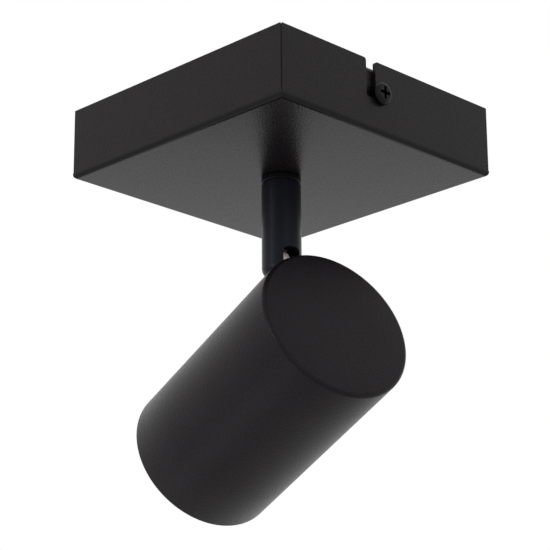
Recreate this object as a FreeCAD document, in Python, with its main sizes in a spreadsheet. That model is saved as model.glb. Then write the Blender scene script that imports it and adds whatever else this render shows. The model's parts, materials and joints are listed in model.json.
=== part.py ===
# Surface mounted ceiling spotlight: a square folded canopy, a short swivelling arm and a round lamp head.
# Lengths are millimetres, angles are degrees. The origin is the middle of the canopy's rim, which lies
# on the ceiling plane z = 0, and everything hangs below it. X runs along the mounting bracket.
import FreeCAD, Part
import math
import os
import Sketcher

doc = FreeCAD.newDocument("ceiling_spotlight")
sheet = doc.addObject("Spreadsheet::Sheet", "Sizes")

DIMENSIONS = (
    # canopy: a pan folded from sheet steel
    ("canopy_width", 100.0), ("canopy_height", 25.0), ("canopy_wall", 1.2), ("canopy_bend", 1.6),
    ("seam_gap", 0.35), ("seam_land", 0.5), ("seam_root", 0.35),
    # the hook shaped slots in two walls, and the screws that they hang on
    ("hook_width", 4.4), ("hook_mouth_round", 1.0), ("hook_shift", 4.2),
    ("side_screw_drop", 11.0), ("side_screw_offset", 4.6), ("side_screw_length", 8.0),
    # mounting bracket: a strap with both ends bent down
    ("strap_width", 26.0), ("strap_thickness", 1.5), ("strap_bend", 3.0), ("strap_clearance", 0.25),
    ("boss_height", 1.0), ("boss_border", 3.0), ("flange_depth", 17.0), ("flange_round", 4.0),
    ("cable_hole_diameter", 14.0), ("fixing_inset", 11.55), ("fixing_slot_width", 4.6),
    ("fixing_slot_length", 9.6),
    # pan head screws
    ("screw_four", 4.0), ("screw_four_head", 7.8), ("screw_four_head_height", 2.4),
    ("screw_three", 3.0), ("screw_three_head", 5.6), ("screw_three_head_height", 1.9),
    ("head_crown_share", 0.62), ("tip_bevel_share", 0.12), ("cross_reach_share", 0.29),
    ("cross_width_share", 0.07), ("cross_depth_share", 0.6),
    ("thread_clearance", 0.03), ("hole_clearance", 0.25),
    # wiring inside the canopy
    ("block_length", 16.0), ("block_pitch", 11.6), ("block_side", 4.2), ("block_height", 12.0),
    ("block_place", 20.0), ("block_gate", 1.6), ("block_gate_depth", 6.6), ("block_edge", 0.8),
    ("insert_diameter", 4.6), ("insert_bore", 3.0), ("insert_length", 13.0), ("insert_drop", 6.0),
    ("clamp_screw", 2.6), ("clamp_pitch", 7.0), ("clamp_length", 4.8), ("clamp_slot_width", 0.6),
    ("clamp_slot_depth", 0.9), ("earth_place", 20.0), ("earth_screw_length", 3.0), ("tag_thickness", 0.8),
    ("tag_diameter", 8.0), ("tag_neck", 2.6), ("tag_reach", 7.5), ("tag_barrel_wall", 0.45),
    ("lead_diameter", 1.6), ("lead_ring", 1.1), ("lead_turn_in", 2.5), ("lead_drop", 1.5),
    # swivel: a hollow threaded nipple through the canopy, with a spigot that the arm turns on
    ("nipple_thread", 10.0), ("nipple_rise", 7.0), ("nipple_bore", 4.8), ("collar_diameter", 13.4),
    ("collar_height", 2.2), ("collar_round", 0.6), ("collar_bevel", 0.3), ("spigot_diameter", 8.8),
    ("spigot_length", 9.6), ("stop_groove_drop", 4.4), ("stop_groove_height", 2.2), ("stop_groove_depth", 1.1),
    ("stop_land_angle", 13.0),
    ("nut_flats", 14.0), ("nut_height", 3.0), ("nut_bevel_share", 0.5), ("tooth_washer_diameter", 15.6),
    ("tooth_washer_thickness", 0.7), ("tooth_depth", 1.3), ("tooth_count", 12.0),
    ("swivel_washer_diameter", 11.4), ("swivel_washer_thickness", 0.4), ("running_clearance", 0.05),
    # arm: a turned tube with a forked lower end
    ("arm_diameter", 13.4), ("arm_bore", 5.2), ("arm_end_round", 4.0), ("arm_below_pivot", 5.4),
    ("pivot_drop", 56.0), ("fork_width", 6.4), ("fork_above_pivot", 4.5), ("fork_behind_pivot", 4.6),
    ("fork_corner", 1.6), ("grub_diameter", 3.0), ("grub_tip", 1.6), ("pivot_screw", 4.0),
    ("pivot_head", 6.2), ("pivot_head_height", 1.5), ("pivot_head_sink", 0.4), ("pivot_thread_depth", 2.2),
    ("key_flats", 2.5), ("key_depth", 1.0), ("grub_key_flats", 1.5), ("grub_key_depth", 1.0),
    ("pivot_washer_diameter", 5.8),
    ("pivot_washer_thickness", 0.75), ("pivot_spacer_diameter", 5.8), ("sleeve_wall", 0.35),
    # knuckle lug: the tongue in the fork, its shoulder and the hollow stud that holds the head
    ("tongue_thickness", 2.9), ("tongue_round", 4.2), ("tongue_play", 0.05), ("shoulder_place", 7.2),
    ("shoulder_thickness", 1.8), ("shoulder_step", 0.5), ("stud_diameter", 10.0), ("stud_bore", 4.2),
    ("stud_bore_shift", 1.6), ("stud_spare", 0.9), ("stud_bevel", 0.5), ("shoulder_round", 0.5),
    ("saddle_border", 1.5), ("saddle_thickness", 1.3), ("spring_washer_diameter", 15.0),
    ("spring_washer_thickness", 0.9), ("spring_washer_slit", 1.2),
    # head: a drawn can, closed behind and open in front
    ("lamp_side_gap", 0.95), ("head_length", 84.6), ("head_wall", 1.2), ("head_round", 1.4),
    ("head_behind_pivot", 20.5), ("head_mouth_round", 0.5),
    # lampholder and its bracket
    ("holder_gap", 6.8), ("holder_plate", 1.2), ("holder_plate_width", 14.0), ("holder_plate_bend", 1.8),
    ("holder_leg_extra", 9.0), ("holder_diameter", 27.0), ("holder_height", 17.0), ("holder_round", 1.0),
    ("holder_screw_pitch", 17.0), ("holder_screw_length", 8.0), ("pin_pitch", 10.0), ("pin_socket", 5.6),
    ("pin_socket_depth", 10.0), ("pin_slot_shift", 3.6), ("pin_lip", 4.0),
    # lamp with two bayonet pins
    ("lamp_gap", 0.3), ("lamp_length", 46.5), ("lamp_base_diameter", 23.4), ("lamp_base_length", 9.0),
    ("lamp_diameter", 50.0), ("lamp_rim_length", 7.0), ("lamp_taper", 1.5), ("lamp_shoulder_length", 4.5),
    ("lamp_shoulder_out", 6.0), ("lamp_cheek_length", 17.0), ("lamp_lens_border", 2.5),
    ("lamp_lens_thickness", 2.2), ("lamp_lens_round", 0.65), ("lamp_rib_count", 20.0), ("lamp_rib_gap", 2.0),
    ("lamp_rib_depth", 2.2), ("pin_diameter", 3.2), ("pin_head", 5.0), ("pin_length", 7.3),
    ("pin_head_length", 2.4),
    # pose of the photographed lamp
    ("swivel_angle", -11.8), ("tilt_angle", 71.3),
)

for row, (alias, number) in enumerate(DIMENSIONS, start=1):
    sheet.set(f"A{row}", alias)
    sheet.set(f"B{row}", str(number))
    sheet.setAlias(f"B{row}", alias)
doc.recompute()


class Size:
    """A number together with the spreadsheet expression that gives it."""

    def __init__(self, number, text):
        self.number = number
        self.text = text

    def joined(self, sign, other, number):
        return Size(number, f"({self.text} {sign} {other.text})")

    def __add__(self, other):
        other = as_size(other)
        return self.joined("+", other, self.number + other.number)

    def __sub__(self, other):
        other = as_size(other)
        return self.joined("-", other, self.number - other.number)

    def __mul__(self, other):
        other = as_size(other)
        return self.joined("*", other, self.number * other.number)

    def __truediv__(self, other):
        other = as_size(other)
        return self.joined("/", other, self.number / other.number)

    def __radd__(self, other):
        return as_size(other) + self

    def __rsub__(self, other):
        return as_size(other) - self

    def __rmul__(self, other):
        return as_size(other) * self

    def __neg__(self):
        return Size(-self.number, f"(-1 * {self.text})")


def as_size(value):
    return value if isinstance(value, Size) else Size(float(value), repr(float(value)))


def root_of(value):
    return Size(math.sqrt(value.number), f"sqrt({value.text})")


class Drawing:
    """Every dimension of the sheet as a Size, by its alias."""

    def __init__(self):
        for alias, number in DIMENSIONS:
            setattr(self, alias, Size(number, f"Sizes.{alias}"))


D = Drawing()
ZERO = as_size(0)

# levels and places that several pieces share
canopy_floor = D.canopy_height - D.canopy_wall
canopy_half = D.canopy_width / 2
flange_face = canopy_half - D.canopy_wall - D.strap_clearance
fixing_place = flange_face - D.fixing_inset
strap_top = D.boss_height
strap_under = strap_top + D.strap_thickness
collar_under = D.canopy_height + D.collar_height
arm_top = collar_under + D.swivel_washer_thickness
spigot_end = collar_under + D.spigot_length
grub_level = collar_under + D.stop_groove_drop
arm_end = D.pivot_drop + D.arm_below_pivot
arm_radius = D.arm_diameter / 2
fork_half = D.fork_width / 2
barrel_start = D.screw_four_head / 2 + D.hole_clearance * 2
tongue_low = -fork_half + D.pivot_washer_thickness + D.tongue_play
tongue_high = tongue_low + D.tongue_thickness
lamp_radius = D.lamp_diameter / 2
lens_radius = lamp_radius - D.lamp_lens_border
head_inside = lamp_radius + D.lamp_side_gap
head_radius = head_inside + D.head_wall
saddle_place = D.shoulder_place + D.shoulder_thickness
shoulder_radius = D.stud_diameter / 2 + D.shoulder_step
saddle_radius = D.stud_diameter / 2 + D.saddle_border
wall_place = saddle_place + D.saddle_thickness
head_axis_place = wall_place + head_radius
leg_half = D.holder_plate_width / 2
leg_face = root_of(head_inside * head_inside - leg_half * leg_half) - D.tongue_play
leg_inside = leg_face - D.holder_plate
stud_end = head_axis_place - leg_inside + D.spring_washer_thickness + D.nut_height + D.stud_spare
plate_level = D.head_wall + D.holder_gap
holder_level = plate_level + D.holder_plate
lamp_level = holder_level + D.holder_height + D.lamp_gap
lamp_front = lamp_level + D.lamp_length
insert_level = strap_under + D.insert_drop
CUT_OVER = as_size(1)
FULL_TURN = as_size(360)

pieces = []


# ---------------------------------------------------------------- drawing helpers

def new_body(label, where=None):
    body = doc.addObject("PartDesign::Body", label)
    body.Label = label
    if where:
        body.setExpression("Placement", where)
    return body


def keep(item):
    pieces.append(item)
    return item


def placed(x=ZERO, y=ZERO, z=ZERO, yaw=ZERO, pitch=ZERO, roll=ZERO):
    """The expression of a placement from six sizes."""
    x, y, z, yaw, pitch, roll = [as_size(value) for value in (x, y, z, yaw, pitch, roll)]
    return (f"placement(vector({x.text}; {y.text}; {z.text}); "
            f"rotation({yaw.text}; {pitch.text}; {roll.text}))")


ARM_FRAME = placed(yaw=D.swivel_angle)
# the head's frame: its origin is the pivot, X runs along the stud into the head, -Z to the open end
HEAD_FRAME = placed(z=-D.pivot_drop, yaw=D.swivel_angle, pitch=D.tilt_angle)
# the can's frame: on the can's axis at the outside of its closed end
CAN_FRAME = HEAD_FRAME + " * " + placed(x=head_axis_place, z=D.head_behind_pivot)


def new_sketch(body, plane, lift=None):
    """An empty sketch on one of the body's origin planes, or parallel to it at a height."""
    sketch = body.newObject("Sketcher::SketchObject", f"{body.Label}_sketch")
    planes = {item.Role: item for item in body.Origin.OriginFeatures}
    sketch.AttachmentSupport = [(planes[f"{plane}_Plane"], "")]
    sketch.MapMode = "FlatFace"
    if lift is not None:
        sketch.setExpression("AttachmentOffset.Base.z", as_size(lift).text)
    return sketch


def tie(sketch, kind, geometry, point, value, axis):
    """Holds one coordinate of a point to a size, or to the sketch axis where the size is zero."""
    if value is ZERO or value.text == "0.0":
        sketch.addConstraint(Sketcher.Constraint("PointOnObject", geometry, point, axis))
        return
    number = sketch.addConstraint(Sketcher.Constraint(kind, -1, 1, geometry, point, value.number))
    sketch.setExpression(f"Constraints[{number}]", value.text)


def tie_point(sketch, geometry, point, x, y):
    tie(sketch, "DistanceX", geometry, point, as_size(x), -2)
    tie(sketch, "DistanceY", geometry, point, as_size(y), -1)


def tie_radius(sketch, geometry, radius):
    number = sketch.addConstraint(Sketcher.Constraint("Radius", geometry, radius.number))
    sketch.setExpression(f"Constraints[{number}]", radius.text)


def add_outline(sketch, corners):
    """A closed outline of straight lines whose corners are held to sizes."""
    corners = [(as_size(x), as_size(y)) for x, y in corners]
    spots = [FreeCAD.Vector(x.number, y.number, 0) for x, y in corners]
    lines = []
    for index, spot in enumerate(spots):
        following = spots[(index + 1) % len(spots)]
        lines.append(sketch.addGeometry(Part.LineSegment(spot, following), False))
    for index, line in enumerate(lines):
        following = lines[(index + 1) % len(lines)]
        sketch.addConstraint(Sketcher.Constraint("Coincident", line, 2, following, 1))
    for line, (x, y) in zip(lines, corners):
        tie_point(sketch, line, 1, x, y)


def add_box(sketch, low_x, high_x, low_y, high_y):
    add_outline(sketch, [(low_x, low_y), (high_x, low_y), (high_x, high_y), (low_x, high_y)])


def add_circle(sketch, x, y, radius):
    x, y, radius = as_size(x), as_size(y), as_size(radius)
    centre = FreeCAD.Vector(x.number, y.number, 0)
    circle = sketch.addGeometry(Part.Circle(centre, FreeCAD.Vector(0, 0, 1), radius.number), False)
    tie_point(sketch, circle, 3, x, y)
    tie_radius(sketch, circle, radius)


def add_slot(sketch, x, y, length, width):
    """A slot with round ends, its length along the sketch's X."""
    x, y, length, width = [as_size(value) for value in (x, y, length, width)]
    radius = width / 2
    reach = (length - width) / 2
    centres = (x - reach, x + reach)
    arcs = []
    for centre, start in zip(centres, (90, 270)):
        spot = FreeCAD.Vector(centre.number, y.number, 0)
        circle = Part.Circle(spot, FreeCAD.Vector(0, 0, 1), radius.number)
        arc = Part.ArcOfCircle(circle, math.radians(start), math.radians(start + 180))
        arcs.append(sketch.addGeometry(arc, False))
    left, right = arcs
    top = FreeCAD.Vector(0, radius.number, 0)
    spots = [FreeCAD.Vector(centre.number, y.number, 0) for centre in centres]
    under = sketch.addGeometry(Part.LineSegment(spots[0] - top, spots[1] - top), False)
    over = sketch.addGeometry(Part.LineSegment(spots[1] + top, spots[0] + top), False)
    for first, first_end, second, second_end in ((left, 2, under, 1), (under, 2, right, 1),
                                                 (right, 2, over, 1), (over, 2, left, 1)):
        sketch.addConstraint(Sketcher.Constraint("Tangent", first, first_end, second, second_end))
    tie_point(sketch, left, 3, centres[0], y)
    tie_point(sketch, right, 3, centres[1], y)
    tie_radius(sketch, left, radius)


def pad(body, sketch, length, turned=False, middle=False):
    """Adds the sketch's area along its normal, or against it, or half to each side."""
    feature = body.newObject("PartDesign::Pad", f"{body.Label}_pad")
    feature.Profile = sketch
    feature.Reversed = turned
    feature.Midplane = middle
    feature.setExpression("Length", as_size(length).text)
    return feature


def pocket(body, sketch, length=None, turned=False, middle=False):
    """Cuts the sketch's area: against its normal, along it where turned, or right through."""
    doc.recompute()
    before = body.Shape.Volume
    feature = body.newObject("PartDesign::Pocket", f"{body.Label}_pocket")
    feature.Profile = sketch
    feature.Reversed = turned
    feature.Midplane = middle
    if length is None:
        feature.Type = "ThroughAll"
        feature.Midplane = True
    else:
        feature.setExpression("Length", as_size(length).text)
    doc.recompute()
    if not body.Shape.Volume < before:
        raise RuntimeError(f"a pocket of {body.Label} cuts nothing")
    return feature


def revolve(body, sketch):
    """Turns the sketch round its own vertical axis."""
    feature = body.newObject("PartDesign::Revolution", f"{body.Label}_turned")
    feature.Profile = sketch
    feature.ReferenceAxis = (sketch, ["V_Axis"])
    feature.Angle = 360
    return feature


def groove(body, sketch, angle=None):
    """Cuts the sketch turned round its vertical axis, right round or through a middle angle."""
    doc.recompute()
    before = body.Shape.Volume
    feature = body.newObject("PartDesign::Groove", f"{body.Label}_groove")
    feature.Profile = sketch
    feature.ReferenceAxis = (sketch, ["V_Axis"])
    feature.Angle = 360
    if angle is not None:
        feature.Midplane = True
        feature.setExpression("Angle", angle.text)
    doc.recompute()
    if not body.Shape.Volume < before:
        raise RuntimeError(f"a groove of {body.Label} cuts nothing")
    return feature


def soften(body, radius, wanted, kind="Fillet"):
    """Rounds or bevels the edges of the body that the test wanted picks."""
    doc.recompute()
    names = [f"Edge{number}" for number, edge in enumerate(body.Tip.Shape.Edges, start=1) if wanted(edge)]
    if not names:
        raise RuntimeError(f"no edge of {body.Label} to soften")
    base = body.Tip
    feature = body.newObject(f"PartDesign::{kind}", f"{body.Label}_{kind.lower()}")
    feature.Base = (base, names)
    feature.setExpression("Radius" if kind == "Fillet" else "Size", as_size(radius).text)
    doc.recompute()
    if "Invalid" in feature.State or body.Shape.isNull():
        raise RuntimeError(f"an edge of {body.Label} could not be softened")
    return feature


def near(first, second):
    return abs(first - second) < 1e-4


def flat_at(edge, axis, value):
    """True for an edge that lies in a plane across an axis ("x", "y" or "z") at a value."""
    box = edge.BoundBox
    low = getattr(box, f"{axis.upper()}Min")
    high = getattr(box, f"{axis.upper()}Max")
    return near(low, value) and near(high, value)


def turned_profile(body, corners):
    sketch = new_sketch(body, "XZ")
    add_outline(sketch, corners)
    return revolve(body, sketch)


def hexagon(flats):
    """The corners of a hexagon with a given width across its flats, points on Y."""
    half = flats / 2
    point = flats / math.sqrt(3)
    step = point / 2
    return [(ZERO, point), (-half, step), (-half, -step), (ZERO, -point), (half, -step), (half, step)]


def group(label, template, places):
    """Copies of one finished body as one piece made of separate solids."""
    doc.recompute()
    copies = []
    for place in places:
        solid = template.Shape.copy()
        solid.Placement = place
        copies.append(solid)
    item = doc.addObject("Part::Feature", label)
    item.Label = label
    item.Shape = Part.makeCompound(copies)
    return keep(item)


def place(x, y, z, turn=(0, 0, 0)):
    """A placement from numbers or sizes, turned by yaw, pitch and roll."""
    spot = [as_size(value).number for value in (x, y, z)]
    return FreeCAD.Placement(FreeCAD.Vector(*spot), FreeCAD.Rotation(*turn))


# ---------------------------------------------------------------- fasteners

def pan_screw(label, thread, length, head, head_height):
    """A pan head screw with a cross recess. Its seat is z = 0, its head up, its shank down."""
    body = new_body(label)
    turned_profile(body, [(ZERO, head_height), (head / 2, head_height), (head / 2, ZERO),
                          (thread / 2, ZERO), (thread / 2, -length), (ZERO, -length)])
    soften(body, head_height * D.head_crown_share, lambda edge: flat_at(edge, "z", head_height.number))
    soften(body, thread * D.tip_bevel_share, lambda edge: flat_at(edge, "z", -length.number), "Chamfer")
    sketch = new_sketch(body, "XY", head_height)
    arm = head * D.cross_reach_share
    half = head * D.cross_width_share
    add_outline(sketch, [(half, half), (arm, half), (arm, -half), (half, -half), (half, -arm), (-half, -arm),
                         (-half, -half), (-arm, -half), (-arm, half), (-half, half), (-half, arm), (half, arm)])
    pocket(body, sketch, head_height * D.cross_depth_share)
    return body


def hex_nut(label, flats, bore, height, where):
    """A hexagon nut with its corners bevelled above and below. It stands on z = 0 of its frame."""
    body = new_body(label, where)
    sketch = new_sketch(body, "XY")
    add_outline(sketch, hexagon(flats))
    pad(body, sketch, height)
    sketch = new_sketch(body, "XY")
    add_circle(sketch, 0, 0, bore / 2)
    pocket(body, sketch)
    corner = flats / math.sqrt(3)
    drop = (corner + CUT_OVER - flats / 2) * D.nut_bevel_share
    for level, inward in ((height, -drop), (ZERO, drop)):
        sketch = new_sketch(body, "XZ")
        add_outline(sketch, [(flats / 2, level), (corner + CUT_OVER, level), (corner + CUT_OVER, level + inward)])
        groove(body, sketch)
    return keep(body)


def ring(label, outer, inner, low, high, where=None):
    body = new_body(label, where)
    turned_profile(body, [(inner / 2, low), (outer / 2, low), (outer / 2, high), (inner / 2, high)])
    return keep(body)


# ---------------------------------------------------------------- canopy and bracket

def canopy_cover():
    """The folded pan: four walls with butt seams, two hook slots and the nipple hole."""
    body = new_body("canopy_cover")
    half = canopy_half
    sketch = new_sketch(body, "XY")
    add_box(sketch, -half, half, -half, half)
    pad(body, sketch, D.canopy_height, turned=True)
    soften(body, D.canopy_bend, lambda edge: flat_at(edge, "z", -D.canopy_height.number))
    inner = half - D.canopy_wall
    sketch = new_sketch(body, "XY")
    add_box(sketch, -inner, inner, -inner, inner)
    pocket(body, sketch, canopy_floor)
    sketch = new_sketch(body, "XY")
    add_circle(sketch, 0, 0, D.nipple_thread / 2 + D.hole_clearance / 2)
    pocket(body, sketch)
    corner_seams(body)
    for side in (1, -1):
        hook_slot(body, side)
    return keep(body)


def corner_seams(body):
    """The groove at each corner where two folded walls butt, closed at its root by the weld inside."""
    half = canopy_half
    reach = half - D.canopy_wall + D.seam_root
    width = D.seam_gap / math.sqrt(2)
    depth = D.canopy_height - D.canopy_bend - D.seam_land
    for x_side, y_side in ((1, 1), (-1, 1), (-1, -1), (1, -1)):
        sketch = new_sketch(body, "XY")
        over = half + CUT_OVER
        add_outline(sketch, [(x_side * (reach + width), y_side * reach), (x_side * (over + width), y_side * over),
                             (x_side * over, y_side * (over + width)), (x_side * reach, y_side * (reach + width))])
        pocket(body, sketch, depth)


def hook_slot(body, side):
    """A slot that drops from the rim and turns sideways under its screw, in the wall at side * X."""
    wide = D.hook_width / 2
    screw = D.side_screw_offset * -side
    drop = screw - D.hook_shift * side
    level = -D.side_screw_drop
    sketch = new_sketch(body, "YZ")
    outer = drop - wide * side
    inner = drop + wide * side
    add_outline(sketch, [(outer, CUT_OVER), (outer, level - wide), (screw, level - wide), (screw, level + wide),
                         (inner, level + wide), (inner, CUT_OVER)])
    pocket(body, sketch, D.canopy_width, turned=side > 0)
    sketch = new_sketch(body, "YZ")
    add_circle(sketch, screw, level, wide)
    pocket(body, sketch, D.canopy_width, turned=side > 0)
    wall = (canopy_half * side).number
    wall_inside = ((canopy_half - D.canopy_wall) * side).number

    def mouth(edge):
        box = edge.BoundBox
        on_slot = flat_at(edge, "y", outer.number) or flat_at(edge, "y", inner.number)
        across_wall = near(box.XMin, min(wall, wall_inside)) and near(box.XMax, max(wall, wall_inside))
        return flat_at(edge, "z", 0) and on_slot and across_wall

    soften(body, D.hook_mouth_round, mouth)

    def low_corner(edge):
        return flat_at(edge, "z", (level - wide).number) and flat_at(edge, "y", outer.number)

    soften(body, D.hook_mouth_round, low_corner)


def mounting_bracket():
    """The strap on the ceiling: raised bosses round its fixing slots, and threaded down-turned ends."""
    body = new_body("mounting_bracket")
    thick = D.strap_thickness
    end = flange_face
    low = strap_top + D.flange_depth
    sketch = new_sketch(body, "XZ")
    add_outline(sketch, [(-end, -strap_top), (end, -strap_top), (end, -low), (end - thick, -low),
                         (end - thick, -strap_under), (thick - end, -strap_under), (thick - end, -low), (-end, -low)])
    pad(body, sketch, D.strap_width, middle=True)
    half_width = D.strap_width.number / 2

    def bend(edge, x, z):
        return flat_at(edge, "z", -z.number) and near(abs(edge.BoundBox.XMin), x.number) \
            and near(edge.BoundBox.XLength, 0) and edge.BoundBox.YLength > half_width

    soften(body, D.strap_bend, lambda edge: bend(edge, end, strap_top))
    soften(body, D.strap_bend - thick, lambda edge: bend(edge, end - thick, strap_under))

    def flange_corner(edge):
        box = edge.BoundBox
        return flat_at(edge, "z", -low.number) and near(abs(box.YMin), half_width) and near(box.YLength, 0)

    soften(body, D.flange_round, flange_corner)
    for side in (1, -1):
        fixing = fixing_place * side
        boss_length = D.fixing_slot_length + D.boss_border * 2
        boss_width = D.fixing_slot_width + D.boss_border * 2
        sketch = new_sketch(body, "XY", -strap_top)
        add_slot(sketch, fixing, 0, boss_length, boss_width)
        pad(body, sketch, D.boss_height)
        sketch = new_sketch(body, "XY", -strap_under)
        add_slot(sketch, fixing, 0, boss_length - thick * 2, boss_width - thick * 2)
        pocket(body, sketch, D.boss_height, turned=True)
        sketch = new_sketch(body, "XY")
        add_slot(sketch, fixing, 0, D.fixing_slot_length, D.fixing_slot_width)
        pocket(body, sketch)
    sketch = new_sketch(body, "XY")
    add_circle(sketch, 0, 0, D.cable_hole_diameter / 2)
    add_circle(sketch, D.block_place, 0, D.screw_three / 2 + D.thread_clearance)
    add_circle(sketch, -D.earth_place, 0, D.screw_four / 2 + D.thread_clearance)
    pocket(body, sketch)
    for side in (1, -1):
        sketch = new_sketch(body, "YZ")
        add_circle(sketch, -D.side_screw_offset * side, -D.side_screw_drop, D.screw_four / 2 + D.thread_clearance)
        pocket(body, sketch, D.canopy_width, turned=side > 0)
    return keep(body)


def canopy_screws():
    """The two screws that hold the canopy to the bracket, one in each hook slot."""
    screw = pan_screw("side_screw_form", D.screw_four, D.side_screw_length, D.screw_four_head,
                      D.screw_four_head_height)
    places = [place(canopy_half * side, -D.side_screw_offset * side, -D.side_screw_drop, (0, 90 * side, 0))
              for side in (1, -1)]
    group("canopy_screws", screw, places)


# ---------------------------------------------------------------- wiring in the canopy

def terminal_block():
    """The two pole insulating block under the strap, with its brass inserts and clamp screws."""
    body = new_body("terminal_block", placed(x=D.block_place, z=-strap_under))
    half_length = D.block_length / 2
    half_width = D.block_pitch / 2 + D.block_side
    sketch = new_sketch(body, "XY")
    add_box(sketch, -half_length, half_length, -half_width, half_width)
    pad(body, sketch, D.block_height, turned=True)
    soften(body, D.block_edge, lambda edge: flat_at(edge, "z", -D.block_height.number))
    sketch = new_sketch(body, "XY", -D.block_height)
    add_box(sketch, -half_length - CUT_OVER, half_length + CUT_OVER, -D.block_gate / 2, D.block_gate / 2)
    pocket(body, sketch, D.block_gate_depth, turned=True)
    sketch = new_sketch(body, "XY", -D.block_height)
    add_circle(sketch, 0, 0, D.screw_three_head / 2 + D.hole_clearance)
    pocket(body, sketch, D.block_gate_depth, turned=True)
    sketch = new_sketch(body, "XY")
    add_circle(sketch, 0, 0, D.screw_three / 2 + D.thread_clearance)
    pocket(body, sketch)
    sketch = new_sketch(body, "YZ")
    for side in (1, -1):
        add_circle(sketch, D.block_pitch / 2 * side, -D.insert_drop, D.insert_diameter / 2 + D.thread_clearance)
    pocket(body, sketch)
    sketch = new_sketch(body, "XY", -D.block_height)
    for side in (1, -1):
        for end in (1, -1):
            add_circle(sketch, D.clamp_pitch / 2 * end, D.block_pitch / 2 * side,
                       D.clamp_screw / 2 + D.hole_clearance)
    pocket(body, sketch, D.block_height - D.insert_drop, turned=True)
    keep(body)

    tube = new_body("insert_form")
    reach = D.insert_length / 2
    sketch = new_sketch(tube, "YZ", -reach)
    add_circle(sketch, 0, 0, D.insert_diameter / 2)
    add_circle(sketch, 0, 0, D.insert_bore / 2)
    pad(tube, sketch, D.insert_length)
    sketch = new_sketch(tube, "XY")
    for end in (1, -1):
        add_circle(sketch, D.clamp_pitch / 2 * end, 0, D.clamp_screw / 2 + D.thread_clearance)
    pocket(tube, sketch, D.insert_diameter)
    middles = [place(D.block_place, D.block_pitch / 2 * side, -insert_level) for side in (1, -1)]
    group("terminal_inserts", tube, middles)

    clamp = new_body("clamp_form")
    tip = D.lead_diameter / 2 + D.thread_clearance
    turned_profile(clamp, [(ZERO, -tip), (D.clamp_screw / 2, -tip), (D.clamp_screw / 2, -tip - D.clamp_length),
                           (ZERO, -tip - D.clamp_length)])
    sketch = new_sketch(clamp, "XZ")
    add_box(sketch, -D.clamp_slot_width / 2, D.clamp_slot_width / 2, -tip - D.clamp_length - CUT_OVER,
            -tip - D.clamp_length + D.clamp_slot_depth)
    pocket(clamp, sketch, D.clamp_screw * 2, middle=True)
    clamps = [place(D.block_place + D.clamp_pitch / 2 * end, D.block_pitch / 2 * side, -insert_level)
              for side in (1, -1) for end in (1, -1)]
    group("terminal_screws", clamp, clamps)


def block_fixing():
    """The screw up through the block into the strap, its head sunk between the two poles."""
    under_head = D.block_height - D.block_gate_depth
    screw = pan_screw("fixing_screw_form", D.screw_three, under_head + D.strap_thickness, D.screw_three_head,
                      D.screw_three_head_height)
    group("terminal_fixing_screw", screw, [place(D.block_place, 0, -strap_under - under_head, (0, 180, 0))])


def earth_parts():
    """The earth screw under the strap, with the ring tag and crimp barrel of the earth lead."""
    tag = new_body("earth_tag", placed(x=-D.earth_place, z=-strap_under))
    sketch = new_sketch(tag, "XY")
    add_circle(sketch, 0, 0, D.tag_diameter / 2)
    pad(tag, sketch, D.tag_thickness, turned=True)
    sketch = new_sketch(tag, "XY")
    add_box(sketch, 0, D.tag_reach, -D.tag_neck / 2, D.tag_neck / 2)
    pad(tag, sketch, D.tag_thickness, turned=True)
    sketch = new_sketch(tag, "XY")
    add_circle(sketch, 0, 0, D.screw_four / 2 + D.hole_clearance)
    pocket(tag, sketch)
    barrel_bore = D.lead_diameter / 2 + D.thread_clearance
    barrel_level = -D.tag_thickness - D.lead_diameter / 2
    sketch = new_sketch(tag, "YZ", barrel_start)
    add_circle(sketch, 0, barrel_level, barrel_bore + D.tag_barrel_wall)
    pad(tag, sketch, D.tag_reach - barrel_start)
    sketch = new_sketch(tag, "YZ", barrel_start)
    add_circle(sketch, 0, barrel_level, barrel_bore)
    pocket(tag, sketch, D.tag_reach - barrel_start, turned=True)
    keep(tag)
    screw = pan_screw("earth_screw_form", D.screw_four, D.earth_screw_length, D.screw_four_head,
                      D.screw_four_head_height)
    group("earth_screw", screw, [place(-D.earth_place, 0, -strap_under - D.tag_thickness, (0, 180, 0))])


BEND_SHARE = 0.45
VOLUME_TOLERANCE = 0.01


def bent_lead(label, points, radius):
    """A round lead along straight runs joined by tangent arcs, each as large as its runs allow."""
    points = [FreeCAD.Vector(*point) for point in points]
    edges = []
    start = points[0]
    for before, corner, after in zip(points, points[1:], points[2:]):
        to_before = (before - corner)
        to_after = (after - corner)
        shorter = min(to_before.Length, to_after.Length)
        to_before.normalize()
        to_after.normalize()
        arc_start = corner + to_before * (shorter * BEND_SHARE)
        arc_end = corner + to_after * (shorter * BEND_SHARE)
        half_turn = (math.pi - to_before.getAngle(to_after)) / 2
        bend = shorter * BEND_SHARE / math.tan(half_turn)
        inward = (to_before + to_after).normalize()
        middle = corner + inward * (bend / math.cos(half_turn) - bend)
        print(f"{label}: bend radius {bend:.1f} mm")
        edges.append(Part.LineSegment(start, arc_start).toShape())
        edges.append(Part.Arc(arc_start, middle, arc_end).toShape())
        start = arc_end
    edges.append(Part.LineSegment(start, points[-1]).toShape())
    path = Part.Wire(edges)
    direction = (points[1] - points[0]).normalize()
    section = Part.Wire([Part.makeCircle(radius, points[0], direction)])
    tube = path.makePipeShell([section], True, True)
    expected = math.pi * radius ** 2 * path.Length
    if abs(tube.Volume - expected) > expected * VOLUME_TOLERANCE:
        raise RuntimeError("a lead's volume does not match its length")
    return tube


def solid_piece(label, shape, frame=None):
    item = doc.addObject("Part::Feature", label)
    item.Label = label
    item.Shape = shape
    if frame is not None:
        item.Placement = frame
    return keep(item)


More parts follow.
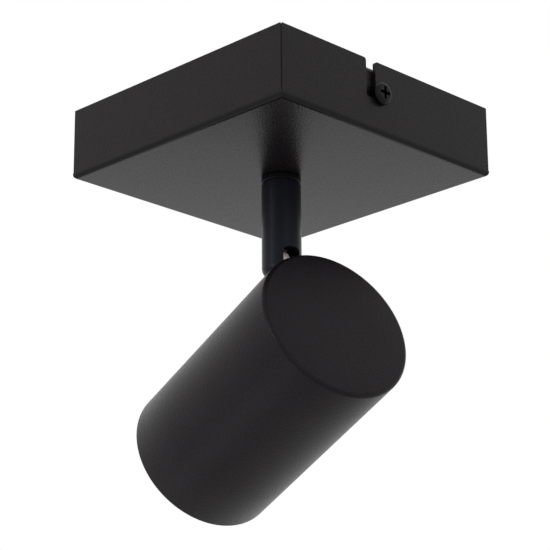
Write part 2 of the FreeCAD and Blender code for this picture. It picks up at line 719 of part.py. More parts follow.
def lead_spots():
    """Where the three leads lie round the axis of the nipple and the arm."""
    spread = D.lead_ring.number
    turns = {"live": 60, "neutral": -60, "earth": 180}
    return {name: (spread * math.cos(math.radians(turn)), spread * math.sin(math.radians(turn)))
            for name, turn in turns.items()}


def canopy_leads():
    """The leads from the terminals and the earth tag down into the nipple."""
    radius = D.lead_diameter.number / 2
    bottom = -spigot_end.number
    entry = -(insert_level + D.lead_drop).number
    inner_end = (D.block_place - D.block_length / 2).number
    inside = inner_end + D.insert_length.number / 2
    spots = lead_spots()
    for name, side in (("live", 1), ("neutral", -1)):
        x, y = spots[name]
        pole = D.block_pitch.number / 2 * side
        level = -insert_level.number
        turn = inner_end - D.lead_turn_in.number
        points = [(inside, pole, level), (turn, pole, level), (x, y, entry), (x, y, bottom)]
        solid_piece(f"{name}_lead", bent_lead(f"{name}_lead", points, radius))
    x, y = spots["earth"]
    level = -(strap_under + D.tag_thickness).number - radius
    tail = -(D.earth_place - barrel_start).number
    points = [(tail, y, level), (tail + D.tag_reach.number, y, level), (x, y, entry), (x, y, bottom)]
    solid_piece("earth_lead", bent_lead("earth_lead", points, radius))


# ---------------------------------------------------------------- swivel

def swivel_nipple():
    """The hollow threaded nipple with its collar, and the spigot with a stop groove round it."""
    body = new_body("swivel_nipple", ARM_FRAME)
    top = canopy_floor - D.nipple_rise
    bore = D.nipple_bore / 2
    thread = D.nipple_thread / 2
    collar = D.collar_diameter / 2
    spigot = D.spigot_diameter / 2
    turned_profile(body, [(bore, -top), (thread, -top), (thread, -D.canopy_height), (collar, -D.canopy_height),
                          (collar, -collar_under), (spigot, -collar_under), (spigot, -spigot_end),
                          (bore, -spigot_end)])
    soften(body, D.collar_round, lambda edge: flat_at(edge, "z", -D.canopy_height.number)
           and near(edge.BoundBox.XMax, collar.number))
    soften(body, D.collar_bevel, lambda edge: flat_at(edge, "z", -collar_under.number)
           and near(edge.BoundBox.XMax, collar.number), "Chamfer")
    deep = spigot - D.stop_groove_depth
    low = grub_level + D.stop_groove_height / 2
    high = grub_level - D.stop_groove_height / 2
    sketch = new_sketch(body, "XZ")
    add_box(sketch, -spigot - CUT_OVER, -deep, -low, -high)
    groove(body, sketch, FULL_TURN - D.stop_land_angle)
    return keep(body)


def swivel_parts():
    """The toothed washer and nut above the canopy's floor, and the slip washer above the arm."""
    washer = new_body("nipple_lock_washer", placed(z=-canopy_floor))
    outer = D.tooth_washer_diameter / 2
    teeth = int(D.tooth_count.number)
    rim = []
    for index in range(teeth * 2):
        angle = math.pi * index / teeth
        radius = outer if index % 2 else outer - D.tooth_depth
        rim.append((radius * math.cos(angle), radius * math.sin(angle)))
    sketch = new_sketch(washer, "XY")
    add_outline(sketch, rim)
    add_circle(sketch, 0, 0, D.nipple_thread / 2 + D.hole_clearance / 2)
    pad(washer, sketch, D.tooth_washer_thickness)
    keep(washer)
    hex_nut("nipple_nut", D.nut_flats, D.nipple_thread + D.thread_clearance * 2, D.nut_height,
            placed(z=-canopy_floor + D.tooth_washer_thickness))
    ring("swivel_washer", D.swivel_washer_diameter, D.spigot_diameter + D.hole_clearance,
         -arm_top, -collar_under)


# ---------------------------------------------------------------- arm

def arm_tube():
    """The turned tube: a seat for the spigot above, a wire bore, and the fork that holds the tongue."""
    body = new_body("arm_tube", ARM_FRAME)
    seat = D.spigot_diameter / 2 + D.running_clearance
    seat_end = spigot_end + D.hole_clearance * 2
    bore = D.arm_bore / 2
    top = D.pivot_drop - D.fork_above_pivot
    turned_profile(body, [(seat, -arm_top), (arm_radius, -arm_top), (arm_radius, -arm_end), (ZERO, -arm_end),
                          (ZERO, -top), (bore, -top), (bore, -seat_end), (seat, -seat_end)])
    soften(body, D.arm_end_round, lambda edge: flat_at(edge, "z", -arm_end.number))
    soften(body, D.collar_bevel, lambda edge: flat_at(edge, "z", -arm_top.number)
           and near(edge.BoundBox.XMax, arm_radius.number), "Chamfer")
    sketch = new_sketch(body, "XZ")
    add_box(sketch, -D.fork_behind_pivot, arm_radius + CUT_OVER, -arm_end - CUT_OVER, -top)
    pocket(body, sketch, D.fork_width, middle=True)

    def roof_corner(edge):
        box = edge.BoundBox
        return flat_at(edge, "z", -top.number) and near(abs(box.YMin), fork_half.number) and near(box.YLength, 0)

    soften(body, D.fork_corner, roof_corner)
    sketch = new_sketch(body, "XZ", -arm_radius)
    add_circle(sketch, 0, -D.pivot_drop, D.pivot_screw / 2 + D.thread_clearance)
    pocket(body, sketch, arm_radius + fork_half + D.pivot_thread_depth, turned=True)
    sketch = new_sketch(body, "XZ", -arm_radius - CUT_OVER)
    add_circle(sketch, 0, -D.pivot_drop, D.pivot_head / 2 + D.hole_clearance)
    pocket(body, sketch, D.pivot_head_height + D.pivot_head_sink + CUT_OVER, turned=True)
    sketch = new_sketch(body, "YZ")
    add_circle(sketch, 0, -grub_level, D.grub_diameter / 2 + D.thread_clearance)
    pocket(body, sketch, D.arm_diameter)
    return keep(body)


def arm_fittings():
    """The grub screw in the stop groove, the pivot screw with its washer and spacer, and the wiring."""
    grub = new_body("arm_grub_screw", ARM_FRAME + " * " + placed(z=-grub_level, pitch=as_size(-90)))
    tip = D.spigot_diameter / 2 - D.stop_groove_depth + D.hole_clearance
    step = D.spigot_diameter / 2 + D.hole_clearance
    out = arm_radius - D.hole_clearance
    turned_profile(grub, [(ZERO, tip), (D.grub_tip / 2, tip), (D.grub_tip / 2, step), (D.grub_diameter / 2, step),
                          (D.grub_diameter / 2, out), (ZERO, out)])
    sketch = new_sketch(grub, "XY", out)
    add_outline(sketch, hexagon(D.grub_key_flats))
    pocket(grub, sketch, D.grub_key_depth)
    keep(grub)

    side = ARM_FRAME + " * " + placed(z=-D.pivot_drop, roll=as_size(-90))
    screw = new_body("pivot_screw", side)
    seat = arm_radius - D.pivot_head_sink - D.pivot_head_height
    head = D.pivot_head / 2
    shank = D.pivot_screw / 2
    tip = -fork_half - D.pivot_thread_depth + D.hole_clearance
    turned_profile(screw, [(ZERO, seat + D.pivot_head_height), (head, seat + D.pivot_head_height), (head, seat),
                           (shank, seat), (shank, tip), (ZERO, tip)])
    soften(screw, D.hole_clearance, lambda edge: flat_at(edge, "z", (seat + D.pivot_head_height).number)
           or flat_at(edge, "z", tip.number), "Chamfer")
    sketch = new_sketch(screw, "XY", seat + D.pivot_head_height)
    add_outline(sketch, hexagon(D.key_flats))
    pocket(screw, sketch, D.key_depth)
    keep(screw)
    inner = D.pivot_screw + D.thread_clearance * 2
    ring("pivot_friction_washer", D.pivot_washer_diameter, inner, -fork_half,
         -fork_half + D.pivot_washer_thickness, side)
    ring("pivot_spacer", D.pivot_spacer_diameter, inner, tongue_high + D.tongue_play, fork_half, side)
    inner = D.arm_bore - D.hole_clearance * 2 - D.sleeve_wall * 2
    low = -(D.pivot_drop - D.fork_above_pivot) + D.hole_clearance
    ring("arm_sleeve", D.arm_bore - D.hole_clearance * 2, inner, low, -spigot_end - D.hole_clearance * 3)
    shapes = []
    top = -spigot_end.number - D.hole_clearance.number
    for x, y in lead_spots().values():
        start = FreeCAD.Vector(x, y, low.number)
        shapes.append(Part.makeCylinder(D.lead_diameter.number / 2, top - low.number, start))
    solid_piece("arm_leads", Part.makeCompound(shapes))


# ---------------------------------------------------------------- knuckle and head

def knuckle_lug():
    """The cast lug: a round tongue in the fork, a shoulder, and a hollow stud through the head's wall."""
    body = new_body("knuckle_lug", HEAD_FRAME)
    sketch = new_sketch(body, "XZ", -tongue_high)
    add_circle(sketch, 0, 0, D.tongue_round)
    pad(body, sketch, D.tongue_thickness)
    sketch = new_sketch(body, "XZ", -tongue_high)
    add_box(sketch, 0, saddle_place, -D.tongue_round, D.tongue_round)
    pad(body, sketch, D.tongue_thickness)
    sketch = new_sketch(body, "YZ", D.shoulder_place)
    add_circle(sketch, 0, 0, shoulder_radius)
    pad(body, sketch, D.shoulder_thickness)
    sketch = new_sketch(body, "YZ", D.shoulder_place)
    add_circle(sketch, 0, 0, D.stud_diameter / 2)
    pad(body, sketch, stud_end - D.shoulder_place)
    soften(body, D.stud_bevel, lambda edge: flat_at(edge, "x", stud_end.number), "Chamfer")
    soften(body, D.shoulder_round, lambda edge: flat_at(edge, "x", D.shoulder_place.number)
           and near(edge.BoundBox.ZMax, shoulder_radius.number))
    sketch = new_sketch(body, "XZ")
    add_circle(sketch, 0, 0, D.pivot_screw / 2 + D.running_clearance)
    pocket(body, sketch)
    sketch = new_sketch(body, "YZ", stud_end)
    add_circle(sketch, D.stud_bore_shift, 0, D.stud_bore / 2)
    pocket(body, sketch, stud_end - D.shoulder_place + D.shoulder_thickness)
    return keep(body)


def knuckle_parts():
    """The saddle washer outside the head's wall, and the spring washer and nut inside it."""
    saddle = new_body("saddle_washer", HEAD_FRAME)
    sketch = new_sketch(saddle, "YZ", saddle_place)
    add_circle(sketch, 0, 0, saddle_radius)
    add_circle(sketch, 0, 0, D.stud_diameter / 2 + D.hole_clearance / 2)
    pad(saddle, sketch, D.saddle_thickness + D.head_wall * 2)
    sketch = new_sketch(saddle, "XY")
    add_circle(sketch, head_axis_place, 0, head_radius)
    pocket(saddle, sketch)
    keep(saddle)
    leg = head_axis_place - leg_inside
    outward = HEAD_FRAME + " * " + placed(x=leg, pitch=as_size(90))
    spring = ring("stud_spring_washer", D.spring_washer_diameter, D.stud_diameter + D.hole_clearance, ZERO,
                  D.spring_washer_thickness, outward)
    sketch = new_sketch(spring, "XY")
    add_box(sketch, ZERO, D.spring_washer_diameter, -D.spring_washer_slit / 2, D.spring_washer_slit / 2)
    pocket(spring, sketch)
    outward = HEAD_FRAME + " * " + placed(x=leg + D.spring_washer_thickness, pitch=as_size(90))
    hex_nut("stud_nut", D.nut_flats, D.stud_diameter + D.thread_clearance * 2, D.nut_height, outward)


def head_can():
    """The drawn can, closed behind, with the hole for the stud in its side."""
    body = new_body("head_can", CAN_FRAME)
    turned_profile(body, [(ZERO, ZERO), (head_radius, ZERO), (head_radius, -D.head_length),
                          (head_inside, -D.head_length), (head_inside, -D.head_wall), (ZERO, -D.head_wall)])
    soften(body, D.head_round, lambda edge: flat_at(edge, "z", 0))
    soften(body, D.head_mouth_round, lambda edge: flat_at(edge, "z", -D.head_length.number))
    sketch = new_sketch(body, "YZ")
    add_circle(sketch, 0, -D.head_behind_pivot, D.stud_diameter / 2 + D.hole_clearance / 2)
    pocket(body, sketch, head_radius * 2)
    return keep(body)


def holder_bracket():
    """The bent strip that the stud's nut clamps to the wall, and that carries the lampholder."""
    body = new_body("lampholder_bracket", CAN_FRAME)
    low = D.head_behind_pivot + D.holder_leg_extra
    far = D.holder_screw_pitch / 2 + D.holder_plate_width / 4
    sketch = new_sketch(body, "XZ")
    add_outline(sketch, [(-leg_face, -plate_level), (far, -plate_level), (far, -holder_level),
                         (-leg_inside, -holder_level), (-leg_inside, -low), (-leg_face, -low)])
    pad(body, sketch, D.holder_plate_width, middle=True)

    def bend(edge, x, z):
        box = edge.BoundBox
        across = near(box.YLength, D.holder_plate_width.number)
        return flat_at(edge, "z", -z.number) and flat_at(edge, "x", -x.number) and across

    soften(body, D.holder_plate_bend, lambda edge: bend(edge, leg_face, plate_level))
    soften(body, D.holder_plate_bend - D.holder_plate, lambda edge: bend(edge, leg_inside, holder_level))
    sketch = new_sketch(body, "YZ")
    add_circle(sketch, 0, -D.head_behind_pivot, D.stud_diameter / 2 + D.hole_clearance / 2)
    pocket(body, sketch, head_radius * 2)
    sketch = new_sketch(body, "XY")
    for side in (1, -1):
        add_circle(sketch, D.holder_screw_pitch / 2 * side, 0, D.screw_three / 2 + D.hole_clearance)
    pocket(body, sketch)
    return keep(body)


def lampholder():
    """The ceramic holder with two twist lock sockets, and the form of the screws that fix it."""
    body = new_body("lampholder", CAN_FRAME + " * " + placed(z=-holder_level))
    radius = D.holder_diameter / 2
    turned_profile(body, [(ZERO, ZERO), (radius, ZERO), (radius, -D.holder_height), (ZERO, -D.holder_height)])
    soften(body, D.holder_round, lambda edge: flat_at(edge, "z", 0) or flat_at(edge, "z", -D.holder_height.number))
    for side in (1, -1):
        entry = D.pin_slot_shift * -side
        pole = D.pin_pitch / 2 * side
        sketch = new_sketch(body, "XY", -D.holder_height)
        add_circle(sketch, entry, pole, D.pin_socket / 2)
        pocket(body, sketch, D.pin_socket_depth, turned=True)
        neck = D.pin_diameter + D.hole_clearance * 2
        sketch = new_sketch(body, "XY", -D.holder_height)
        add_slot(sketch, entry / 2, pole, D.pin_slot_shift + neck, neck)
        pocket(body, sketch, D.pin_socket_depth, turned=True)
        sketch = new_sketch(body, "XY", -D.holder_height + D.pin_lip)
        add_slot(sketch, entry / 2, pole, D.pin_slot_shift + D.pin_socket, D.pin_socket)
        pocket(body, sketch, D.pin_socket_depth - D.pin_lip, turned=True)
    sketch = new_sketch(body, "XY")
    for side in (1, -1):
        add_circle(sketch, D.holder_screw_pitch / 2 * side, 0, D.screw_three / 2 + D.thread_clearance)
    pocket(body, sketch, D.holder_screw_length)
    keep(body)
    screw = pan_screw("holder_screw_form", D.screw_three, D.holder_screw_length, D.screw_three_head,
                      D.screw_three_head_height)
    return screw


def lamp_ribs(body, shoulder):
    """The cooling slots down the flare of the lamp, one cut and its copies round the axis."""
    inner_top = D.lamp_base_diameter / 2 + D.lamp_shoulder_out - D.lamp_rib_depth
    inner_low = lamp_radius - D.lamp_taper - D.lamp_rib_depth
    low = shoulder + D.lamp_cheek_length
    outside = lamp_radius + CUT_OVER
    sketch = new_sketch(body, "XZ")
    add_outline(sketch, [(inner_top, -shoulder), (outside, -shoulder), (outside, -low), (inner_low, -low)])
    slot = pocket(body, sketch, D.lamp_rib_gap, middle=True)
    pattern = body.newObject("PartDesign::PolarPattern", "lamp_slots")
    pattern.Originals = [slot]
    pattern.Axis = (sketch, ["V_Axis"])
    pattern.Angle = FULL_TURN.number
    pattern.Occurrences = int(D.lamp_rib_count.number)
    body.Tip = pattern


def lamp():
    """The reflector lamp: its ribbed body, its front lens, and the form of its two pins."""
    body = new_body("lamp_body", CAN_FRAME + " * " + placed(z=-lamp_level))
    base = D.lamp_base_diameter / 2
    neck = D.lamp_base_length
    shoulder = neck + D.lamp_shoulder_length
    rim_top = D.lamp_length - D.lamp_rim_length
    cheek = lamp_radius - D.lamp_taper
    recess = lens_radius + D.hole_clearance
    lens_seat = D.lamp_length - D.lamp_lens_thickness - D.hole_clearance
    turned_profile(body, [(ZERO, ZERO), (base, ZERO), (base, -neck), (base + D.lamp_shoulder_out, -shoulder),
                          (cheek, -shoulder - D.lamp_cheek_length), (lamp_radius, -rim_top),
                          (lamp_radius, -D.lamp_length), (recess, -D.lamp_length), (recess, -lens_seat),
                          (ZERO, -lens_seat)])
    lamp_ribs(body, shoulder)
    keep(body)
    front = new_body("lamp_lens", CAN_FRAME + " * " + placed(z=-lamp_front))
    turned_profile(front, [(ZERO, ZERO), (lens_radius, ZERO), (lens_radius, D.lamp_lens_thickness),
                           (ZERO, D.lamp_lens_thickness)])
    soften(front, D.lamp_lens_round, lambda edge: flat_at(edge, "z", 0))
    keep(front)
    pin = new_body("pin_form")
    thin = D.pin_diameter / 2
    thick = D.pin_head / 2
    neck = D.pin_length - D.pin_head_length
    turned_profile(pin, [(ZERO, ZERO), (thin, ZERO), (thin, neck), (thick, neck), (thick, D.pin_length),
                         (ZERO, D.pin_length)])
    return pin


def head_fittings(frame, holder_screw, pin):
    """The groups and leads of the head, placed in the can's frame."""
    screws = [frame.multiply(place(D.holder_screw_pitch / 2 * side, 0, -plate_level)) for side in (1, -1)]
    group("lampholder_screws", holder_screw, screws)
    pins = [frame.multiply(place(0, D.pin_pitch / 2 * side, -lamp_level)) for side in (1, -1)]
    group("lamp_pins", pin, pins)


def head_leads(frame):
    """The leads from the fork through the hollow stud to the side of the lampholder."""
    radius = D.lead_diameter.number / 2
    start = D.shoulder_place.number
    shapes = []
    for y, z in lead_spots().values():
        across = D.stud_bore_shift.number + y
        side = math.sqrt((D.holder_diameter.number / 2) ** 2 - across ** 2)
        reach = head_axis_place.number - side - start - D.hole_clearance.number
        shapes.append(Part.makeCylinder(radius, reach, FreeCAD.Vector(start, across, z), FreeCAD.Vector(1, 0, 0)))
    solid_piece("head_leads", Part.makeCompound(shapes), frame)


# ---------------------------------------------------------------- assembly

canopy_cover()
mounting_bracket()
canopy_screws()
terminal_block()
block_fixing()
earth_parts()
canopy_leads()
swivel_nipple()
swivel_parts()
arm_tube()
arm_fittings()
lug = knuckle_lug()
knuckle_parts()
can = head_can()
holder_bracket()
holder_screw = lampholder()
lamp_pin = lamp()
doc.recompute()
head_fittings(can.Placement, holder_screw, lamp_pin)
head_leads(lug.Placement)
doc.recompute()

for item in doc.Objects:
    if "Invalid" in item.State or "Error" in item.State:
        raise RuntimeError(f"{item.Label} did not build: {item.State}")
for item in pieces:
    if item.Shape.isNull() or not item.Shape.isValid():
        raise RuntimeError(f"{item.Label} has no valid shape")
os.makedirs("parts", exist_ok=True)
for item in pieces:
    item.Shape.exportStep(f"parts/{item.Label}.step")
    print(f"{item.Label}: {len(item.Shape.Solids)} solid(s), {item.Shape.Volume:.1f} mm3")
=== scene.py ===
import json
import math

import bmesh
import bpy
from mathutils import Matrix, Vector


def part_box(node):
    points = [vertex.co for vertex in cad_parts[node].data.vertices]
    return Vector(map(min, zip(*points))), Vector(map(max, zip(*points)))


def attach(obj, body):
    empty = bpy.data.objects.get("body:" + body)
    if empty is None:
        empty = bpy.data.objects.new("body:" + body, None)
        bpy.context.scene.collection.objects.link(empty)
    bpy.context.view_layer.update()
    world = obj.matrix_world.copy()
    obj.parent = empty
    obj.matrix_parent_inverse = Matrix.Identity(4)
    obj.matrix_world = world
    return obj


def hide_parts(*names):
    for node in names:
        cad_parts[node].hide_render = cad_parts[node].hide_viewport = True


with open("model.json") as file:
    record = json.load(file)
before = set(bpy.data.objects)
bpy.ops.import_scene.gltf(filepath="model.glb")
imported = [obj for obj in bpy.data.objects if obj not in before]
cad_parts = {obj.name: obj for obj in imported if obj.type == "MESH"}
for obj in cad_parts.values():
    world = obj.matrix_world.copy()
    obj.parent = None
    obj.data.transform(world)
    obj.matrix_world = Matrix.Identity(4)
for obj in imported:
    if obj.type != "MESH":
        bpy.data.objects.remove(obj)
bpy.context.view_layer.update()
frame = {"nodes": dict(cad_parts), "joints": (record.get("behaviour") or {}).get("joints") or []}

# Surface mounted ceiling spotlight. Lengths below are millimetres of the real object, unless a name ends
# in _m or _M or a comment says metres, and MM turns them into Blender's metres. The origin is the middle
# of the canopy's rim, on the ceiling plane, and everything hangs below it.
MM = 0.001
joints = {joint["name"]: joint for joint in frame["joints"]}


# ------------------------------------------------------------------ sizes read from the frame

UP = Vector((0, 0, 1))
PIVOT_M = Vector(joints["head_tilt"]["pos_m"])
ACROSS = Vector(joints["head_tilt"]["axis"]).normalized()     # along the pivot screw
SWING = ACROSS.cross(UP).normalized()                         # the side of the arm that the fork opens to
TILT = math.radians(-joints["head_tilt"]["range_deg"][0])     # the head's tilt in the photographed pose
STEM = SWING * math.cos(TILT) - UP * math.sin(TILT)           # from the pivot into the head
BACKWARD = SWING * math.sin(TILT) + UP * math.cos(TILT)       # from the lamp's mouth to the closed end


def frame_matrix(x_axis, y_axis, z_axis, origin_m):
    """The matrix of a piece's own frame: three directions and a place in metres."""
    directions = Matrix((x_axis, y_axis, z_axis)).transposed().to_4x4()
    return Matrix.Translation(origin_m) @ directions


def extent(node, direction, origin_m):
    """Lowest and highest distance of a CAD node from an origin along a direction, in millimetres."""
    vertices = frame["nodes"][node].data.vertices
    reach = [(vertex.co - origin_m).dot(direction) / MM for vertex in vertices]
    return min(reach), max(reach)


CANOPY_SIDE = (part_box("canopy_cover")[1].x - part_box("canopy_cover")[0].x) / MM
CANOPY_DEPTH = -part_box("canopy_cover")[0].z / MM
CAN_LOW, CAN_HIGH = extent("head_can", BACKWARD, PIVOT_M)
CAN_NEAR, CAN_FAR = extent("head_can", STEM, PIVOT_M)
CAN_RADIUS = (CAN_FAR - CAN_NEAR) / 2
CAN_AXIS = (CAN_FAR + CAN_NEAR) / 2
CAN_LENGTH = CAN_HIGH - CAN_LOW
HEAD_FRAME = frame_matrix(STEM, ACROSS, BACKWARD, PIVOT_M)
CAN_FRAME = HEAD_FRAME @ Matrix.Translation((CAN_AXIS * MM, 0, CAN_HIGH * MM))
CAN_TOP_M = CAN_FRAME.translation                             # the middle of the can's closed end
LENS_LOW = extent("lamp_lens", BACKWARD, CAN_TOP_M)[0]
LENS_RADIUS = extent("lamp_lens", ACROSS, CAN_TOP_M)[1]


# ------------------------------------------------------------------ material helpers

WHITE = "#FFFFFF"

# a Mix node's colour sockets share their names with its other sockets, so they are taken by number
COLOUR_A = 6
COLOUR_B = 7
MIXED = 2

NOISE_SPAN = (0.3, 0.7)     # where most values of a noise texture lie
FINE_RELIEF = 0.02


def linear(code):
    """An sRGB hex value as the linear colour that a shader takes."""
    colour = []
    for start in (1, 3, 5):
        value = int(code[start:start + 2], 16) / 255
        colour.append(value / 12.92 if value <= 0.04045 else ((value + 0.055) / 1.055) ** 2.4)
    return colour + [1.0]


def per_m(size_mm):
    """The scale of a procedural pattern whose features are size_mm across."""
    return 1.0 / (size_mm * MM)


def add(tree, kind, inputs=None, **settings):
    """Adds a node, sets its options, and sets or links its inputs."""
    node = tree.nodes.new(kind)
    for name, value in settings.items():
        setattr(node, name, value)
    for name, value in (inputs or {}).items():
        socket = node.inputs[name]
        if isinstance(value, bpy.types.NodeSocket):
            tree.links.new(value, socket)
        else:
            socket.default_value = value
    return node


def new_material(name):
    """An empty material. Returns it, its node tree and the object coordinates."""
    material = bpy.data.materials.new(name)
    material.use_nodes = True
    tree = material.node_tree
    tree.nodes.clear()
    place = add(tree, "ShaderNodeTexCoord").outputs["Object"]
    return material, tree, place


# ------------------------------------------------------------------ powder coats

# painted shade: the colour the canopy's bends are darkened to, standing in for the dark reflection on them
BEND_SHADE = "#060607"
BEND_SHADE_HEIGHT = (1.52, 2.185)     # above the canopy's floor: painted shade up to the first, none from the second
BEND_SHADE_INSET = (0.76, 1.425)      # in from the walls' outer faces: painted shade up to the first, none from the second
FINE_SHARE = 0.8                # size of the colour speckle, as a share of the relief's grain
SPECKLE_SPAN = (0.25, 0.75)
SPECKLE_SHARE = 0.8             # of the change in colour. The rest comes from the cloud
CLOUD_SHARE = 0.2
CLOUD_SIZE = 18.0               # patches where the spray lay a little thicker


def painted_bend_shade(tree, place):
    """One on the bend between the canopy's walls and its floor, where shade is painted, else none."""
    spot = add(tree, "ShaderNodeSeparateXYZ", {"Vector": place}).outputs
    low = add(tree, "ShaderNodeMapRange", {
        "Value": spot["Z"], "From Min": (BEND_SHADE_HEIGHT[0] - CANOPY_DEPTH) * MM,
        "From Max": (BEND_SHADE_HEIGHT[1] - CANOPY_DEPTH) * MM, "To Min": 1.0, "To Max": 0.0})
    across_x = add(tree, "ShaderNodeMath", {0: spot["X"]}, operation="ABSOLUTE")
    across_y = add(tree, "ShaderNodeMath", {0: spot["Y"]}, operation="ABSOLUTE")
    widest = add(tree, "ShaderNodeMath", {0: across_x.outputs[0], 1: across_y.outputs[0]},
                 operation="MAXIMUM")
    outer = add(tree, "ShaderNodeMapRange", {
        "Value": widest.outputs[0], "From Min": (CANOPY_SIDE / 2 - BEND_SHADE_INSET[1]) * MM,
        "From Max": (CANOPY_SIDE / 2 - BEND_SHADE_INSET[0]) * MM})
    both = add(tree, "ShaderNodeMath", {0: low.outputs["Result"], 1: outer.outputs["Result"]},
               operation="MULTIPLY")
    return both.outputs[0]


def powder_coat(name, deep, pale, grain, relief, rough, gloss, sheen=WHITE, shaded_bends=False):
    """Textured epoxy powder coat on steel: a pebbled skin of fused grains, so light breaks into a fine
    speckle and lies as a wide soft sheen, stronger where the surface is seen edge on. Real grains are too
    fine to show in the render, so they are drawn coarser."""
    material, tree, place = new_material(name)
    pebbles = add(tree, "ShaderNodeTexVoronoi", {"Vector": place, "Scale": per_m(grain)},
                  feature="SMOOTH_F1")
    fine = add(tree, "ShaderNodeTexNoise", {"Vector": place, "Scale": per_m(grain * FINE_SHARE),
                                            "Detail": 2.0}).outputs["Fac"]
    cloud = add(tree, "ShaderNodeTexNoise", {"Vector": place, "Scale": per_m(CLOUD_SIZE), "Detail": 2.0})
    speckle = add(tree, "ShaderNodeMapRange", {"Value": fine, "From Min": SPECKLE_SPAN[0],
                                               "From Max": SPECKLE_SPAN[1], "To Max": SPECKLE_SHARE})
    tone = add(tree, "ShaderNodeMath", {0: cloud.outputs["Fac"], 1: CLOUD_SHARE,
                                        2: speckle.outputs["Result"]}, operation="MULTIPLY_ADD")
    skin = add(tree, "ShaderNodeMix", {"Factor": tone.outputs[0], COLOUR_A: linear(deep),
                                       COLOUR_B: linear(pale)}, data_type="RGBA")
    # painted shade: on the canopy's bends the colour is darkened
    if shaded_bends:
        skin = add(tree, "ShaderNodeMix", {"Factor": painted_bend_shade(tree, place),
                                           COLOUR_A: skin.outputs[MIXED],
                                           COLOUR_B: linear(BEND_SHADE)}, data_type="RGBA")
    dull = add(tree, "ShaderNodeMapRange", {"Value": fine, "From Min": NOISE_SPAN[0],
                                            "From Max": NOISE_SPAN[1], "To Min": rough[0],
                                            "To Max": rough[1]})
    height = add(tree, "ShaderNodeMath", {0: pebbles.outputs["Distance"], 1: fine}, operation="ADD")
    bump = add(tree, "ShaderNodeBump", {"Height": height.outputs[0], "Distance": relief * MM,
                                        "Strength": 1.0})
    shader = add(tree, "ShaderNodeBsdfPrincipled", {
        "Base Color": skin.outputs[MIXED], "Roughness": dull.outputs["Result"], "IOR": 1.5,
        "Specular IOR Level": gloss, "Specular Tint": linear(sheen), "Normal": bump.outputs["Normal"]})
    add(tree, "ShaderNodeOutputMaterial", {"Surface": shader.outputs["BSDF"]})
    return material


# the head, the bracket and the saddle washer: near black, with the coarsest speckle and a warm sheen
COAT = powder_coat("textured_powder_coat", "#020202", "#211D21", 0.62, 0.055, (0.28, 0.42), 0.13,
                   sheen="#FFF6FA")
# the canopy: a little glossier than the head, with painted shade darkening its bends
CANOPY_COAT = powder_coat("folded_powder_coat", "#0B090A", "#262124", 0.6, 0.046, (0.22, 0.34), 0.135,
                          shaded_bends=True)
# the turned arm: a finer speckle under a cool sheen
ARM_COAT = powder_coat("smooth_powder_coat", "#08090C", "#1E1F27", 0.4, 0.04, (0.29, 0.4), 0.14,
                       sheen="#E8EAFF")
# the nipple's collar between canopy and arm: dull and nearly even, its colour darkened as painted shade
# from the canopy above
COLLAR_SHADED_COAT = powder_coat("shaded_collar_powder_coat", "#070708", "#101012", 0.3, 0.012, (0.42, 0.52), 0.1)


# ------------------------------------------------------------------ metals and plastics

def satin_skin(name, first, second, rough, rough_span, patch, patch_detail, patch_span, grain, grain_detail,
               surface):
    """A skin of two close tones in soft patches, whose fine grain varies its roughness between two shares
    of the stated one. The real grain is too fine to show in the render, so it is drawn coarser."""
    material, tree, place = new_material(name)
    cloudy = add(tree, "ShaderNodeTexNoise", {"Vector": place, "Scale": per_m(patch),
                                              "Detail": patch_detail})
    fine = add(tree, "ShaderNodeTexNoise", {"Vector": place, "Scale": per_m(grain),
                                            "Detail": grain_detail}).outputs["Fac"]
    share = add(tree, "ShaderNodeMapRange", {"Value": cloudy.outputs["Fac"], "From Min": patch_span[0],
                                             "From Max": patch_span[1]})
    skin = add(tree, "ShaderNodeMix", {"Factor": share.outputs["Result"], COLOUR_A: linear(first),
                                       COLOUR_B: linear(second)}, data_type="RGBA")
    dull = add(tree, "ShaderNodeMapRange", {"Value": fine, "From Min": NOISE_SPAN[0],
                                            "From Max": NOISE_SPAN[1], "To Min": rough * rough_span[0],
                                            "To Max": rough * rough_span[1]})
    bump = add(tree, "ShaderNodeBump", {"Height": fine, "Distance": FINE_RELIEF * MM, "Strength": 1.0})
    shader = add(tree, "ShaderNodeBsdfPrincipled", {
        "Base Color": skin.outputs[MIXED], "Roughness": dull.outputs["Result"],
        "Normal": bump.outputs["Normal"], **surface})
    add(tree, "ShaderNodeOutputMaterial", {"Surface": shader.outputs["BSDF"]})
    return material


def satin_metal(name, bright, dull, rough):
    """Plated, cast or bare metal: a satin shine with faint cloudy patches."""
    return satin_skin(name, bright, dull, rough, rough_span=(0.8, 1.25), patch=2.5, patch_detail=4.0,
                      patch_span=(0.35, 0.65), grain=0.5, grain_detail=3.0, surface={"Metallic": 1.0})


def even_skin(name, body, shade, rough, gloss=0.5):
    """Moulded plastic, silicone rubber or black oxide: an even colour with a slight bloom and the faint
    texture of its mould or its bath."""
    return satin_skin(name, body, shade, rough, rough_span=(0.85, 1.15), patch=6.0, patch_detail=2.0,
                      patch_span=NOISE_SPAN, grain=0.35, grain_detail=2.0,
                      surface={"IOR": 1.5, "Specular IOR Level": gloss})


# screws, nuts and washers in grey satin, and the cast lug paler and nearly matt
ZINC = satin_metal("zinc_plated_steel", "#C9C9C6", "#A3A5A6", 0.3)
CAST_ZINC = satin_metal("die_cast_zinc", "#EFECE8", "#D4D1CC", 0.7)
# the terminal's tubes in warm yellow, and the lamp's pins in a bright warm grey
BRASS = satin_metal("bare_brass", "#C9A45A", "#A9853F", 0.28)
NICKEL = satin_metal("nickel_plate", "#D0CBC0", "#B5B0A6", 0.2)
# the screws in sight: black with a small soft shine
BLACK_SCREW = even_skin("black_oxide_steel", "#050506", "#0A0A0B", 0.2, gloss=0.13)
